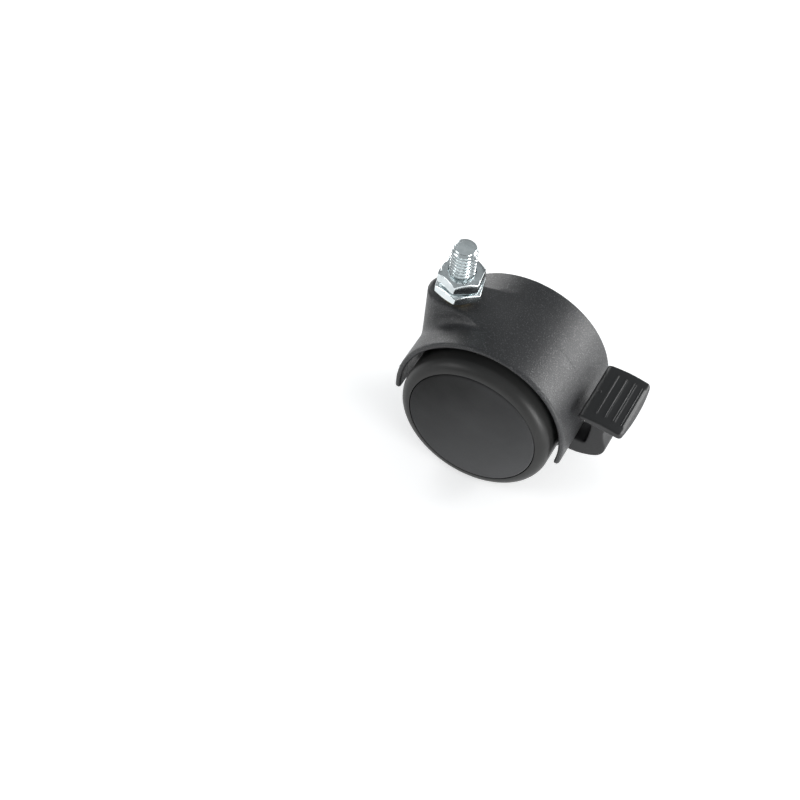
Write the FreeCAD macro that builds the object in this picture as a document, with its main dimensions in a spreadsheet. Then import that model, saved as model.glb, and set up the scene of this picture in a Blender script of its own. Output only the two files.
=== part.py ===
import FreeCAD, Part
import os

import Sketcher

# Swivelling twin-wheel furniture caster, millimetres.
# Part frame: +Z points up the threaded stem, +X points back over the wheels to the brake pedal,
# +Y points to the left wheel. The origin is the centre of the lock nut's top face, on the stem axis.
# Heights and outline points are measured from the wheel axle, which lies stem_offset behind the stem
# axis and axle_drop below the origin.

SIZES = {
    "stem_offset": 18.4, "axle_drop": 39.8,
    # threaded stem, radii and heights from the thread's end down
    "stem_top": 49.8, "thread_end": 3.1, "thread_chamfer_base": 48.9, "thread_outer": 4.0,
    "lock_seat": 39.8, "thread_low": 3.8, "relief_top": 35.7, "thread_relief": 3.3,
    "collar_top": 35.1, "collar_base": 31.9, "collar_flat": 7.0, "collar_turn": 13.5, "neck_depth": 1.0,
    "shoulder_base": 30.65, "shoulder_outer": 5.0, "journal_outer": 4.0,
    "groove_top": 24.35, "groove_outer": 3.3, "groove_base": 23.35,
    "pilot_top": 22.85, "pilot_outer": 3.0, "pilot_base": 10.5, "pilot_tip": 2.5, "pilot_chamfer": 0.6,
    # washer and snap ring on the stem
    "washer_inner": 4.05, "washer_outer": 4.6, "washer_base": 29.45,
    "ring_inner": 3.32, "ring_outer": 4.8, "ring_play": 0.05, "ring_gap_half": 1.3, "ring_gap_back": 0.5,
    # lock nut
    "nut_flat": 6.5, "nut_turn": 8.0, "nut_height": 4.5, "nut_bore": 4.05, "nut_crown": 6.45,
    "nut_bevel": 0.9, "nut_reach": 8.2,
    # hood
    "hood_outer": 28.6, "hood_inner": 26.8, "hood_centre": 0.8, "hood_half": 17.7,
    "hood_front_z": 2.4, "hood_rear_z": 5.2, "lip_slope": 0.25,
    # wall between the wheels
    "web_half": 5.0, "web_join": 27.6, "web_front_z": 1.6, "web_rear_z": 3.2,
    "hub_web": 7.5, "pivot_web": 7.6,
    # boss under the stem
    "boss_top": 29.4, "boss_base": 6.0, "boss_nose": 6.5, "boss_under": 25.9,
    "boss_round": 0.6, "boss_foot": 1.2,
    "bore_mouth": 30.4, "stem_bore": 4.05, "ring_pocket": 5.0, "ring_pocket_top": 24.4,
    "ring_pocket_base": 22.7, "pilot_bore": 3.05, "pilot_bore_base": 10.0,
    # axle, washers, clips
    "axle_outer": 3.0, "axle_half": 20.3, "axle_chamfer": 0.5, "spacer_outer": 5.4, "spacer_thick": 0.5,
    "clip_inner": 3.0, "clip_outer": 6.0, "clip_start": 18.5, "clip_thick": 0.9, "clip_dish": 0.45,
    "clip_lip": 5.4, "clip_flat": 4.6, "clip_rise": 3.9,
    # wheels, axial sizes measured from the middle plane
    "wheel_bore": 3.05, "wheel_start": 5.6, "hub_outer": 5.6, "disc_start": 16.8, "disc_end": 18.4,
    "cap_seat_in": 8.8, "cap_seat_out": 10.0, "cap_seat_end": 19.6,
    "drum_inner": 20.4, "drum_outer": 22.4, "drum_end": 20.2, "drum_lip": 21.25,
    "tooth_count": 24, "tooth_tip": 16.8, "tooth_tip_half": 0.6, "tooth_root": 20.7, "tooth_root_half": 1.25,
    "tooth_start": 6.2, "tooth_length": 6.0,
    "rib_count": 8, "rib_half": 0.6, "rib_start": 13.4, "rib_sink": 0.3,
    "tyre_outer": 25.0, "tyre_end": 22.0, "tyre_shoulder": 3.7, "tyre_inner_round": 1.4, "tyre_lip": 21.3,
    # hub caps
    "cap_outer": 21.05, "cap_edge": 0.5, "cap_face": 22.2, "cap_crown": 22.75, "cap_crown_radius": 384.2,
    "cap_under": 20.9, "cap_skirt": 19.9, "cap_ring": 11.2, "cap_ring_in": 10.02, "cap_base": 18.5,
    # brake lever and its pins
    "pivot_pin": 1.5, "pivot_bore": 1.55, "cross_pin": 0.9, "cross_half": 11.0,
    "lever_hub": 3.5, "lever_narrow": 2.0, "lever_wide": 4.2, "lever_clear": 8.4, "slot_half": 2.2,
    "finger_reach": 13.6, "crook_round": 1.25, "arm_inner_bow": 36.0, "arm_waist_bow": 11.0,
    "arm_hip_bow": 14.0, "arm_curl_bow": 5.6, "arm_sole_bow": 17.5,
    # foot plate
    "flare_half": 6.6, "flare_low": 7.6, "flare_high": 11.6, "flare_front": 31.2, "flare_length": 7.0,
    "pad_half": 11.85, "pad_corner": 1.4, "pad_rear": 44.3, "pad_side_x": 43.6, "pad_rear_bow": 78.0,
    "pad_arch": 36.0, "pad_front_round": 4.0, "pad_tip_round": 0.8, "beyond": 60.0,
    "tread_rows": 4, "tread_first": 33.9, "tread_pitch": 2.8, "tread_half": 8.8, "tread_wide_half": 0.28,
    "tread_base": 11.9, "tread_top": 14.45, "tread_drop": 0.12, "nub": 0.7, "nub_x": 31.2, "nub_top": 14.15,
    # friction spring over the finger
    "spring_half": 1.8, "spring_thick": 0.3,
    # cutting depth that passes right through
    "through": 90.0,
}

# Outline points as (x, z) in side views, and (x, y) for the boss.
POINTS = {
    "pivot": (18.0, -7.0), "cross": (14.44, 4.09),
    "web_cheek": (25.2, -4.57), "web_foot": (18.0, -14.6), "web_heel": (12.5, -12.0),
    "hub_rear": (5.0, -5.59), "hub_front": (-6.4, -3.91), "web_step": (-15.0, 5.4), "web_chin": (-21.0, 5.4),
    "boss_cheek": (-21.7, 6.5), "boss_flare": (-13.0, 7.3), "boss_spread": (-6.0, 8.9),
    "boss_tail": (-2.0, 10.4),
    "slot_roof": (11.2, 8.4), "slot_neck": (11.2, 1.5), "slot_throat": (13.7, -6.0),
    "slot_floor": (32.0, -20.0), "slot_lip": (32.0, -5.7), "slot_knee": (23.0, -3.4),
    "slot_back": (20.6, 2.0),
    "window_low": (13.1, 2.7), "window_high": (18.6, 5.9),
    "arm_heel": (24.75, -12.0), "arm_step": (26.38, -6.4), "arm_shelf": (30.2, -6.3),
    "arm_crook": (31.4, -5.15), "arm_chest": (31.5, 5.9), "arm_neck": (29.9, 11.0), "arm_front": (30.6, 12.6),
    "arm_rear": (41.5, 11.4), "arm_brow": (42.04, 9.5), "arm_waist": (36.35, 0.84),
    "arm_hip": (37.85, -4.4), "arm_curl": (35.85, -9.8), "arm_sole": (27.0, -12.35),
    "tail_low": (22.3, -11.7), "tail_end_low": (28.0, -11.9), "tail_end_high": (28.0, -6.7),
    "tail_high": (22.6, -6.45), "finger_root": (20.4, -3.6), "finger_rear": (16.35, 6.5),
    "finger_front": (12.1, 5.25),
    "pad_toe": (29.1, 12.5), "pad_under": (30.4, 12.2), "pad_under_rear": (43.2, 10.6),
    "pad_tip": (44.3, 11.6), "pad_crest_rear": (43.0, 12.85), "pad_crest": (31.2, 14.0),
    "pad_brow": (29.1, 13.4),
    "leaf_front": (11.25, 8.05), "leaf_dip_front": (15.3, 6.5), "leaf_dip_rear": (15.6, 6.5),
    "leaf_rear": (20.55, 7.9),
}

doc = FreeCAD.newDocument("chair_caster_wheel")
sheet = doc.addObject("Spreadsheet::Sheet", "sizes")
for name, (across, along) in POINTS.items():
    SIZES[name + "_u"] = across
    SIZES[name + "_v"] = along
for row, (alias, number) in enumerate(SIZES.items(), start=1):
    sheet.set("A%d" % row, alias)
    sheet.set("B%d" % row, str(number))
    sheet.setAlias("B%d" % row, alias)
doc.recompute()


class Size:
    """A dimension that knows its value and the sheet expression behind it."""

    def __init__(self, value, text):
        self.value = value
        self.text = text

    def joined(self, sign, other, value):
        return Size(value, "(%s %s %s)" % (self.text, sign, as_size(other).text))

    def __add__(self, other):
        return self.joined("+", other, self.value + as_size(other).value)

    def __sub__(self, other):
        return self.joined("-", other, self.value - as_size(other).value)

    def __mul__(self, other):
        return self.joined("*", other, self.value * as_size(other).value)

    def __neg__(self):
        return Size(-self.value, "(-%s)" % self.text)


def half_chord(radius, height):
    """Half the width of a circle at a height above or below its centre."""
    value = (radius.value ** 2 - height.value ** 2) ** 0.5
    return Size(value, "sqrt(%s ^ 2 - %s ^ 2)" % (radius.text, height.text))


def as_size(number):
    if isinstance(number, Size):
        return number
    return Size(number, repr(number))


class Sheet:
    """Sizes by name, as in sz.tyre_outer."""

    def __getattr__(self, alias):
        return Size(SIZES[alias], "sizes." + alias)


sz = Sheet()


def point(name, mirror=False):
    """Both coordinates of a named outline point; mirror flips the second one."""
    across = Size(SIZES[name + "_u"], "sizes.%s_u" % name)
    along = Size(SIZES[name + "_v"], "sizes.%s_v" % name)
    return across, -along if mirror else along


ZERO = as_size(0)
AXLE_POINT = FreeCAD.Vector(SIZES["stem_offset"], 0, -SIZES["axle_drop"])
FLIP = FreeCAD.Rotation(FreeCAD.Vector(0, 0, 1), 180)
TOLERANCE = 1e-3
EDGE_SAMPLES = (0.3, 0.5, 0.7)
made = []


# ---------------------------------------------------------------- sketch helpers

class Line:
    """Straight edge to the corner (u, v)."""

    def __init__(self, u, v):
        self.u, self.v = as_size(u), as_size(v)
        self.radius = None


class Arc:
    """Round edge to the corner (u, v); turn is 1 for anticlockwise and -1 for clockwise.

    With on_axis the centre is held on the sketch's vertical axis in place of a driven radius.
    """

    def __init__(self, u, v, radius, turn, large=False, on_axis=False):
        self.u, self.v = as_size(u), as_size(v)
        self.radius, self.turn, self.large, self.on_axis = as_size(radius), turn, large, on_axis


def lines(*names):
    """Straight edges through named points."""
    return [Line(*point(name)) for name in names]


def new_body(label):
    body = doc.addObject("PartDesign::Body", label)
    body.Label = label
    made.append(body)
    return body


def at_axle(body, rotation=FreeCAD.Rotation()):
    """Place a body that is drawn about the wheel axle."""
    body.Placement = FreeCAD.Placement(AXLE_POINT, rotation)
    body.setExpression("Placement.Base.x", "sizes.stem_offset")
    body.setExpression("Placement.Base.z", "-sizes.axle_drop")


def new_sketch(body, role, offset=ZERO):
    """Sketch on an origin plane of the body, moved along the plane's normal by offset."""
    sketch = body.newObject("Sketcher::SketchObject", body.Label + "_sketch")
    plane = [item for item in body.Origin.OriginFeatures if item.Role == role][0]
    sketch.AttachmentSupport = [(plane, "")]
    sketch.MapMode = "FlatFace"
    if offset is not ZERO:
        sketch.AttachmentOffset = FreeCAD.Placement(FreeCAD.Vector(0, 0, offset.value), FreeCAD.Rotation())
        sketch.setExpression("AttachmentOffset.Base.z", offset.text)
    return sketch


def arc_edge(start, end, radius, turn, large):
    chord = end.sub(start)
    middle = (start + end) * 0.5
    reach = max(radius * radius - chord.Length * chord.Length / 4, 0) ** 0.5
    side = turn * (-1 if large else 1)
    left = FreeCAD.Vector(-chord.y, chord.x, 0).normalize()
    centre = middle + left * (reach * side)
    axis = FreeCAD.Vector(0, 0, 1)
    circle = Part.Circle(centre, axis, radius)
    first, last = (start, end) if turn > 0 else (end, start)
    return Part.ArcOfCircle(circle, circle.parameter(first), circle.parameter(last))


def pin_corner(sketch, edge, spot, corner):
    """Hold one edge end at the corner's sheet-driven position."""
    for kind, size, axis in (("DistanceX", corner.u, -2), ("DistanceY", corner.v, -1)):
        if size.value == 0:
            sketch.addConstraint(Sketcher.Constraint("PointOnObject", edge, spot, axis))
        else:
            held = sketch.addConstraint(Sketcher.Constraint(kind, -1, 1, edge, spot, size.value))
            sketch.setExpression("Constraints[%d]" % held, size.text)


def outline(sketch, corners):
    """Closed outline; each corner's edge arrives from the corner before it."""
    spots = [FreeCAD.Vector(corner.u.value, corner.v.value, 0) for corner in corners]
    ends = []
    for index, corner in enumerate(corners):
        start, end = spots[index - 1], spots[index]
        if corner.radius is None:
            edge = sketch.addGeometry(Part.LineSegment(start, end), False)
            ends.append((edge, 1, 2))
        else:
            arc = arc_edge(start, end, corner.radius.value, corner.turn, corner.large)
            edge = sketch.addGeometry(arc, False)
            ends.append((edge, 1, 2) if corner.turn > 0 else (edge, 2, 1))
    for index, corner in enumerate(corners):
        edge, first, last = ends[index]
        following = ends[(index + 1) % len(ends)]
        sketch.addConstraint(Sketcher.Constraint("Coincident", edge, last, following[0], following[1]))
        pin_corner(sketch, edge, last, corner)
        if corner.radius is None:
            continue
        if corner.on_axis:
            sketch.addConstraint(Sketcher.Constraint("PointOnObject", edge, 3, -2))
        else:
            held = sketch.addConstraint(Sketcher.Constraint("Radius", edge, corner.radius.value))
            sketch.setExpression("Constraints[%d]" % held, corner.radius.text)


def round_hole(sketch, u, v, radius):
    centre = FreeCAD.Vector(as_size(u).value, as_size(v).value, 0)
    edge = sketch.addGeometry(Part.Circle(centre, FreeCAD.Vector(0, 0, 1), radius.value), False)
    pin_corner(sketch, edge, 3, Line(u, v))
    held = sketch.addConstraint(Sketcher.Constraint("Radius", edge, radius.value))
    sketch.setExpression("Constraints[%d]" % held, radius.text)


def hexagon(sketch, half_flat):
    """Regular hexagon about the sketch origin with two flats square to the sketch's X."""
    corner = half_flat * (2 / 3 ** 0.5)
    side = corner * 0.5
    outline(sketch, [Line(half_flat, side), Line(ZERO, corner), Line(-half_flat, side),
                     Line(-half_flat, -side), Line(ZERO, -corner), Line(half_flat, -side)])


def revolved(body, corners, role="XY_Plane", cut=False):
    sketch = new_sketch(body, role)
    outline(sketch, corners)
    kind = "PartDesign::Groove" if cut else "PartDesign::Revolution"
    feature = body.newObject(kind, body.Label + ("_groove" if cut else "_turned"))
    feature.Profile = sketch
    feature.ReferenceAxis = (sketch, ["V_Axis"])
    feature.Angle = 360
    return feature


def swept(body, draw, role, length, cut=False, offset=ZERO, symmetric=True, reverse=False):
    """Pad or pocket of the outline that draw() puts on a new sketch."""
    sketch = new_sketch(body, role, offset)
    draw(sketch)
    doc.recompute()
    kind = "PartDesign::Pocket" if cut else "PartDesign::Pad"
    feature = body.newObject(kind, body.Label + ("_pocket" if cut else "_pad"))
    feature.Profile = sketch
    feature.Type = "Length"
    feature.SideType = "Symmetric" if symmetric else "One side"
    feature.Reversed = reverse
    feature.Length = length.value
    feature.setExpression("Length", length.text)
    return feature


def drill(body, centre, radius):
    """Round hole right across the body, parallel to the axle."""
    swept(body, lambda sketch: round_hole(sketch, *centre, radius), "XZ_Plane", sz.through, cut=True)


def ring_of(body, feature, count):
    """Repeat a feature evenly around the body's Y axis."""
    pattern = body.newObject("PartDesign::PolarPattern", body.Label + "_ring")
    axis = [item for item in body.Origin.OriginFeatures if item.Role == "Y_Axis"][0]
    pattern.Originals = [feature]
    pattern.Axis = (axis, [""])
    pattern.Angle = 360
    body.Tip = pattern
    pattern.setExpression("Occurrences", count.text)
    doc.recompute()
    return pattern


def rounded(body, edges, radius, label):
    """Fillet the named edges of the body's last feature."""
    doc.recompute()
    base = body.Tip
    fillet = body.newObject("PartDesign::Fillet", label)
    fillet.Base = (base, edges)
    fillet.Radius = radius.value
    fillet.setExpression("Radius", radius.text)
    body.Tip = fillet
    doc.recompute()
    return fillet


def tube(label, inner, outer, start, thick, axis_up):
    """Plain ring; its axis is the stem's when axis_up is true, otherwise the axle's."""
    body = new_body(label)
    end = start + thick
    revolved(body, [Line(inner, start), Line(outer, start), Line(outer, end), Line(inner, end)],
             "XZ_Plane" if axis_up else "XY_Plane")
    return body


# ---------------------------------------------------------------- stem, washer, ring, nut

def up(size):
    """Height above the origin of a height measured from the axle."""
    return size - sz.axle_drop


def turned(body, angle):
    """Turn a hexagonal piece about the stem axis."""
    turn = FreeCAD.Rotation(FreeCAD.Vector(0, 0, 1), angle.value)
    body.Placement = FreeCAD.Placement(FreeCAD.Vector(), turn)
    body.setExpression("Placement.Rotation.Angle", angle.text)


def make_threaded_stem():
    body = new_body("threaded_stem")
    neck = sz.collar_base + sz.neck_depth
    steps = [
        (ZERO, sz.pilot_base), (sz.pilot_tip, sz.pilot_base),
        (sz.pilot_outer, sz.pilot_base + sz.pilot_chamfer), (sz.pilot_outer, sz.pilot_top),
        (sz.journal_outer, sz.pilot_top), (sz.journal_outer, sz.groove_base),
        (sz.groove_outer, sz.groove_base), (sz.groove_outer, sz.groove_top),
        (sz.journal_outer, sz.groove_top), (sz.journal_outer, sz.shoulder_base),
        (sz.shoulder_outer, sz.shoulder_base), (sz.shoulder_outer, neck), (sz.thread_relief, neck),
        (sz.thread_relief, sz.relief_top), (sz.thread_low, sz.relief_top), (sz.thread_low, sz.lock_seat),
        (sz.thread_outer, sz.lock_seat), (sz.thread_outer, sz.thread_chamfer_base),
        (sz.thread_end, sz.stem_top), (ZERO, sz.stem_top),
    ]
    revolved(body, [Line(radius, up(height)) for radius, height in steps], "XZ_Plane")
    swept(body, lambda sketch: hexagon(sketch, sz.collar_flat), "XY_Plane", sz.collar_top - sz.collar_base,
          offset=up(sz.collar_base), symmetric=False)
    turned(body, sz.collar_turn)


def make_thrust_washer():
    tube("thrust_washer", sz.washer_inner, sz.washer_outer, up(sz.washer_base),
         sz.shoulder_base - sz.washer_base, True)


def make_retaining_ring():
    """Open snap ring in the stem groove; the mouth faces forward."""
    play, half = sz.ring_play, sz.ring_gap_half
    body = tube("retaining_ring", sz.ring_inner, sz.ring_outer, up(sz.groove_base) + play,
                sz.groove_top - sz.groove_base - play * 2, True)

    def mouth(sketch):
        front, back = -sz.ring_outer - half, -sz.ring_gap_back
        outline(sketch, [Line(front, -half), Line(back, -half), Line(back, half), Line(front, half)])
    swept(body, mouth, "XY_Plane", sz.through, cut=True)


def make_lock_nut():
    body = new_body("lock_nut")
    base = up(sz.lock_seat - sz.nut_height)
    swept(body, lambda sketch: hexagon(sketch, sz.nut_flat), "XY_Plane", sz.nut_height, offset=base,
          symmetric=False)
    top, bevel, reach = base + sz.nut_height, sz.nut_bevel, sz.nut_reach
    for face, corners in ((top, [Line(reach, top - bevel), Line(reach, top)]),
                          (base, [Line(reach, base), Line(reach, base + bevel)])):
        revolved(body, [Line(sz.nut_crown, face)] + corners, "XZ_Plane", cut=True)
    swept(body, lambda sketch: round_hole(sketch, ZERO, ZERO, sz.nut_bore), "XY_Plane", sz.through, cut=True)
    turned(body, sz.nut_turn)


# ---------------------------------------------------------------- housing

def hood_outline(sketch):
    """Side view of the curved shell over both wheels."""
    outer, inner, centre, slope = sz.hood_outer, sz.hood_inner, sz.hood_centre, sz.lip_slope
    front, rear = sz.hood_front_z, sz.hood_rear_z
    outline(sketch, [
        Line(-half_chord(outer, front + centre), -front),
        Arc(half_chord(outer, rear + centre), -rear, outer, -1, True),
        Line(half_chord(inner, rear + centre - slope), slope - rear),
        Arc(-half_chord(inner, front + centre - slope), slope - front, inner, 1, True),
    ])


def web_outline(sketch):
    """Side view of the wall between the wheels: crown, axle hub and brake pivot cheeks."""
    front, rear, join = sz.web_front_z, sz.web_rear_z, sz.web_join
    outline(sketch, [
        Line(-half_chord(join, front + sz.hood_centre), -front),
        Arc(half_chord(join, rear + sz.hood_centre), -rear, join, -1, True),
        Line(*point("web_cheek")), Arc(*point("web_foot"), sz.pivot_web, -1),
        Line(*point("web_heel")), Line(*point("hub_rear")),
        Arc(*point("hub_front"), sz.hub_web, -1), Line(*point("web_step")), Line(*point("web_chin")),
    ])


def boss_outline(sketch):
    """Plan of the boss: round nose ahead of the stem, flanks that spread into the crown."""
    flank = ["boss_flare", "boss_spread", "boss_tail"]
    nose_x = point("boss_cheek")[0] - sz.boss_nose
    right = [Line(*point(name, mirror=True)) for name in flank]
    outline(sketch, [Arc(*point("boss_cheek", mirror=True), sz.boss_nose, 1)] + right
            + lines(*reversed(flank)) + lines("boss_cheek") + [Arc(nose_x, ZERO, sz.boss_nose, 1)])


def slot_outline(sketch):
    """Space between the cheeks that the lever's inner arm and finger sweep through."""
    floor = Line(sz.slot_throat_u, sz.slot_floor_v)
    roof = Line(sz.slot_back_u, sz.slot_roof_v)
    outline(sketch, lines("slot_roof", "slot_neck", "slot_throat") + [floor]
            + lines("slot_floor", "slot_lip", "slot_knee", "slot_back") + [roof])


def window_outline(sketch):
    """Opening in both cheeks for the travel of the cross pin."""
    (left, low), (right, high) = point("window_low"), point("window_high")
    outline(sketch, [Line(left, low), Line(right, low), Line(right, high), Line(left, high)])


def edge_names(shape, wanted):
    """Names of the edges whose middle stretch passes the test."""
    names = []
    for number, edge in enumerate(shape.Edges, start=1):
        first, last = edge.ParameterRange
        spots = [edge.valueAt(first + (last - first) * part) for part in EDGE_SAMPLES]
        if all(wanted(spot) for spot in spots):
            names.append("Edge%d" % number)
    return names


def soften_boss(body):
    """Round the front of the boss's top rim and the foot where it meets the hood."""
    top, radius, centre = SIZES["boss_top"], SIZES["hood_outer"], SIZES["hood_centre"]
    behind, widest = SIZES["boss_flare_u"], SIZES["boss_spread_v"]

    def beside(spot):
        return spot.x < behind and abs(spot.y) > TOLERANCE

    def on_rim(spot):
        return beside(spot) and abs(spot.z - top) < TOLERANCE

    def on_foot(spot):
        reach = (spot.x ** 2 + (spot.z - centre) ** 2) ** 0.5
        return beside(spot) and abs(spot.y) < widest and abs(reach - radius) < TOLERANCE

    doc.recompute()
    rounded(body, edge_names(body.Tip.Shape, on_foot), sz.boss_foot, "housing_foot_round")
    rounded(body, edge_names(body.Tip.Shape, on_rim), sz.boss_round, "housing_rim_round")


def bore_stem_seat(body):
    """Stepped bore for the stem, turned about the stem axis ahead of the wheels."""
    steps = [(sz.stem_bore, sz.bore_mouth), (sz.stem_bore, sz.ring_pocket_top),
             (sz.ring_pocket, sz.ring_pocket_top), (sz.ring_pocket, sz.ring_pocket_base),
             (sz.pilot_bore, sz.ring_pocket_base), (sz.pilot_bore, sz.pilot_bore_base),
             (ZERO, sz.pilot_bore_base), (ZERO, sz.bore_mouth)]
    axis_x, low, high = -sz.stem_offset, sz.pilot_bore_base, sz.bore_mouth
    sketch = new_sketch(body, "XZ_Plane")
    outline(sketch, [Line(axis_x + radius, height) for radius, height in steps])
    foot = FreeCAD.Vector(axis_x.value, low.value, 0)
    head = FreeCAD.Vector(axis_x.value, high.value, 0)
    line = sketch.addGeometry(Part.LineSegment(foot, head), True)
    pin_corner(sketch, line, 1, Line(axis_x, low))
    pin_corner(sketch, line, 2, Line(axis_x, high))
    groove = body.newObject("PartDesign::Groove", "housing_stem_bore")
    groove.Profile = sketch
    groove.ReferenceAxis = (sketch, ["Axis0"])
    groove.Angle = 360


def make_housing():
    body = new_body("housing")
    swept(body, boss_outline, "XY_Plane", sz.boss_top - sz.boss_base, offset=sz.boss_base, symmetric=False)
    drill(body, (ZERO, sz.hood_centre), sz.boss_under)
    swept(body, hood_outline, "XZ_Plane", sz.hood_half * 2)
    swept(body, web_outline, "XZ_Plane", sz.web_half * 2)
    soften_boss(body)
    swept(body, slot_outline, "XZ_Plane", sz.slot_half * 2, cut=True)
    swept(body, window_outline, "XZ_Plane", sz.through, cut=True)
    drill(body, (ZERO, ZERO), sz.axle_outer)
    drill(body, point("pivot"), sz.pivot_pin)
    bore_stem_seat(body)
    at_axle(body)


# ---------------------------------------------------------------- axle and its small parts

def make_axle():
    body = new_body("axle")
    radius, half, chamfer = sz.axle_outer, sz.axle_half, sz.axle_chamfer
    revolved(body, [Line(ZERO, -half), Line(radius - chamfer, -half), Line(radius, -half + chamfer),
                    Line(radius, half - chamfer), Line(radius - chamfer, half), Line(ZERO, half)])
    at_axle(body)


def make_spacer(side, rotation):
    body = tube("spacer_washer_" + side, sz.axle_outer, sz.spacer_outer, sz.web_half, sz.spacer_thick, False)
    at_axle(body, rotation)


def make_clip(side, rotation):
    """Push-on clip, a dished disc with an outer rim."""
    body = new_body("axle_clip_" + side)
    start, end = sz.clip_start, sz.clip_start + sz.clip_thick
    dish = start + sz.clip_dish
    revolved(body, [Line(sz.clip_inner, start), Line(sz.clip_outer, start), Line(sz.clip_outer, end),
                    Line(sz.clip_lip, end), Line(sz.clip_flat, dish), Line(sz.clip_rise, dish),
                    Line(sz.clip_inner, end)])
    at_axle(body, rotation)


# ---------------------------------------------------------------- wheels

def half_tooth_turn(rotation):
    """Turn a wheel so that a tooth space faces straight back, in line with the brake pin."""
    turn = FreeCAD.Rotation(FreeCAD.Vector(0, 1, 0), 180 / SIZES["tooth_count"])
    return rotation.multiply(turn)


def make_wheel_rim(side, rotation):
    body = new_body("wheel_rim_" + side)
    steps = [
        (sz.wheel_bore, sz.wheel_start), (sz.hub_outer, sz.wheel_start), (sz.hub_outer, sz.disc_start),
        (sz.drum_inner, sz.disc_start), (sz.drum_inner, sz.wheel_start), (sz.drum_outer, sz.wheel_start),
        (sz.drum_outer, sz.drum_end), (sz.drum_lip, sz.drum_end), (sz.drum_lip, sz.disc_end),
        (sz.cap_seat_out, sz.disc_end), (sz.cap_seat_out, sz.cap_seat_end),
        (sz.cap_seat_in, sz.cap_seat_end), (sz.cap_seat_in, sz.disc_end), (sz.wheel_bore, sz.disc_end),
    ]
    revolved(body, [Line(radius, across) for radius, across in steps])

    def tooth(sketch):
        outline(sketch, [Line(sz.tooth_tip, -sz.tooth_tip_half), Line(sz.tooth_root, -sz.tooth_root_half),
                         Line(sz.tooth_root, sz.tooth_root_half), Line(sz.tooth_tip, sz.tooth_tip_half)])

    def rib(sketch):
        inner, outer = sz.hub_outer - sz.rib_sink, sz.drum_inner + sz.rib_sink
        outline(sketch, [Line(inner, -sz.rib_half), Line(outer, -sz.rib_half),
                         Line(outer, sz.rib_half), Line(inner, sz.rib_half)])

    pad = swept(body, tooth, "XZ_Plane", sz.tooth_length, offset=-sz.tooth_start, symmetric=False,
                reverse=True)
    ring_of(body, pad, sz.tooth_count)
    pad = swept(body, rib, "XZ_Plane", sz.disc_start - sz.rib_start + sz.rib_sink, offset=-sz.rib_start,
                symmetric=False, reverse=True)
    ring_of(body, pad, sz.rib_count)
    at_axle(body, half_tooth_turn(rotation))


def make_tyre(side, rotation):
    body = new_body("tyre_" + side)
    inner_round, shoulder = sz.tyre_inner_round, sz.tyre_shoulder
    revolved(body, [
        Line(sz.drum_outer, sz.wheel_start), Line(sz.tyre_outer - inner_round, sz.wheel_start),
        Arc(sz.tyre_outer, sz.wheel_start + inner_round, inner_round, 1),
        Line(sz.tyre_outer, sz.tyre_end - shoulder), Arc(sz.tyre_outer - shoulder, sz.tyre_end, shoulder, 1),
        Line(sz.tyre_lip, sz.drum_end), Line(sz.drum_outer, sz.drum_end),
    ])
    at_axle(body, rotation)


def make_hub_cap(side, rotation):
    body = new_body("hub_cap_" + side)
    edge, base, under = sz.cap_edge, sz.cap_base, sz.cap_under
    revolved(body, [
        Line(ZERO, under), Line(sz.cap_ring_in, under), Line(sz.cap_ring_in, base),
        Line(sz.cap_ring, base), Line(sz.cap_ring, under), Line(sz.cap_skirt, under),
        Line(sz.cap_skirt, base), Line(sz.cap_outer, base), Line(sz.cap_outer, sz.cap_face - edge),
        Arc(sz.cap_outer - edge, sz.cap_face, edge, 1),
        Arc(ZERO, sz.cap_crown, sz.cap_crown_radius, 1, on_axis=True),
    ])
    at_axle(body, rotation)


# ---------------------------------------------------------------- brake

def arm_outline(sketch):
    """Side view of the lever's wide arm, from behind the cheeks up to the underside of the pad."""
    outline(sketch, [
        Line(*point("arm_heel")), Arc(*point("arm_step"), sz.lever_clear, 1), Line(*point("arm_shelf")),
        Arc(*point("arm_crook"), sz.crook_round, 1), Arc(*point("arm_chest"), sz.arm_inner_bow, 1),
    ] + lines("arm_neck", "arm_front", "arm_rear", "arm_brow") + [
        Arc(*point("arm_waist"), sz.arm_waist_bow, 1), Arc(*point("arm_hip"), sz.arm_hip_bow, 1),
        Arc(*point("arm_curl"), sz.arm_curl_bow, -1), Arc(*point("arm_sole"), sz.arm_sole_bow, -1),
    ])


def flare_outline(sketch):
    """End view of the thickening that spreads the arm into the underside of the pad."""
    low, high, narrow, wide = sz.flare_low, sz.flare_high, sz.lever_wide, sz.flare_half
    outline(sketch, [Line(-narrow, low), Line(narrow, low), Line(wide, high), Line(-wide, high)])


def finger_outline(sketch):
    """Side view of the narrow inner arm: pivot hub, finger up to the cross pin, tail back to the wide arm."""
    (pivot_x, pivot_z), hub = point("pivot"), sz.lever_hub
    tail = lines("tail_low", "tail_end_low", "tail_end_high", "tail_high")
    outline(sketch, [Line(pivot_x - hub, pivot_z), Arc(pivot_x, pivot_z - hub, hub, 1)] + tail
            + lines("finger_root", "finger_rear") + [Arc(*point("finger_front"), sz.finger_reach, 1)])


def pad_outline(sketch):
    """Side view of the foot plate, gently arched and thinner at the tip."""
    outline(sketch, lines("pad_toe", "pad_under", "pad_under_rear") + [
        Arc(*point("pad_tip"), sz.pad_tip_round, 1), Line(*point("pad_crest_rear")),
        Arc(*point("pad_crest"), sz.pad_arch, 1), Arc(*point("pad_brow"), sz.pad_front_round, 1),
    ])


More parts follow.
